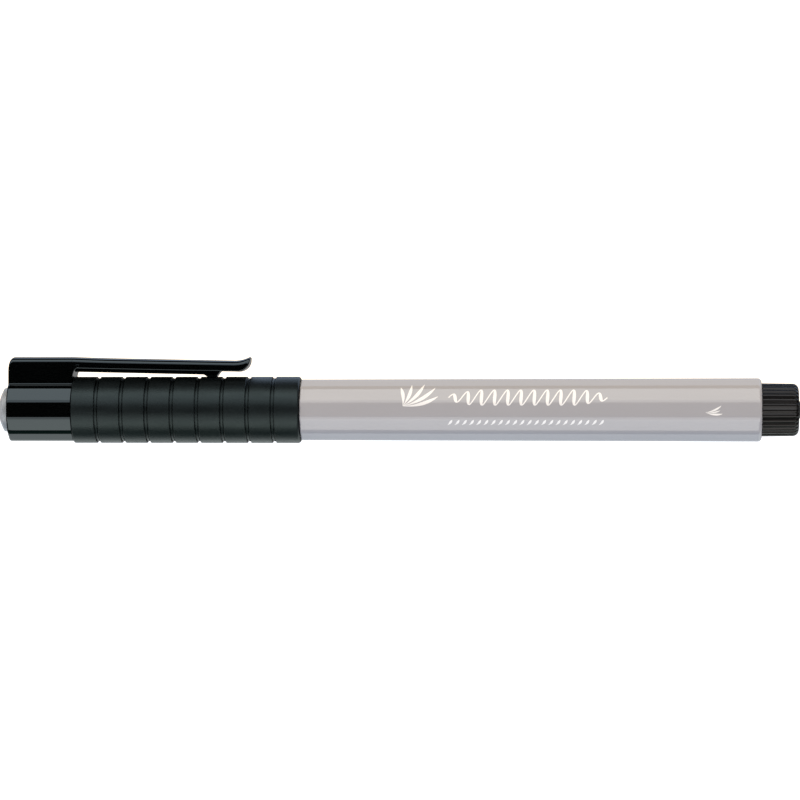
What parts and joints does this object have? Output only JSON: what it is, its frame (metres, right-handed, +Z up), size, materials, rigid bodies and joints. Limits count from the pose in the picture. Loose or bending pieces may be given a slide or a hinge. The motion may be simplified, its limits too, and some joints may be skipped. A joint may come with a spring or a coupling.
{
  "type": "calligraphy marker",
  "caption": "Capped brush-tip calligraphy marker with a faceted barrel, ribbed cap grip and a springy pocket clip, for writing and lettering with liquid ink.",
  "frame": {"origin": "on the surface that the pen lies on, under the middle of its length", "axes": "+X along the pen from the cap's end to the tail plug, +Z up through the clip, +Y across the pen"},
  "size_m": [0.145, 0.012, 0.0156],
  "materials": {
    "barrel": "satin light grey",
    "tail_plug": "satin black",
    "nose": "gloss black",
    "nib": "ink-stained soft tip",
    "ink_fibre": "inked fibre",
    "film": "clear film",
    "cap_gloss": "gloss black",
    "sleeve": "matte black",
    "liner": "milky white",
    "colour_plug": "satin mid grey"
  },
  "bodies": {
    "pen": {"barrel": "barrel", "tail_plug": "tail_plug", "front_section": "nose", "nib_stem": "nib", "ink_reservoir": "ink_fibre", "reservoir_wrap": "film"},
    "tip": {"brush_nib": "nib"},
    "cap_liner": {"inner_cap": "liner"},
    "cap": {"cap_shell": "cap_gloss", "cap_sleeve": "sleeve", "cap_end_plug": "colour_plug"},
    "clip": {"clip_arm": "cap_gloss"}
  },
  "joints": [
    {"name": "cap_pull", "type": "slide", "parent": "pen", "child": "cap_liner", "axis": [-1, 0, 0], "range_m": [0, 0.065]},
    {"name": "cap_turn", "type": "hinge", "parent": "cap_liner", "child": "cap", "pos_m": [-0.045, 0, 0.006], "axis": [1, 0, 0], "continuous": true},
    {"name": "clip_flex", "type": "hinge", "parent": "cap", "child": "clip", "pos_m": [-0.0583, 0, 0.0147], "axis": [0, -1, 0], "range_deg": [0, 5], "stiffness_Nm_per_rad": 3},
    {"name": "tip_bend", "type": "hinge", "parent": "pen", "child": "tip", "pos_m": [-0.0485, 0, 0.006], "axis": [0, 1, 0], "range_deg": [-8, 8], "stiffness_Nm_per_rad": 0.01}
  ]
}
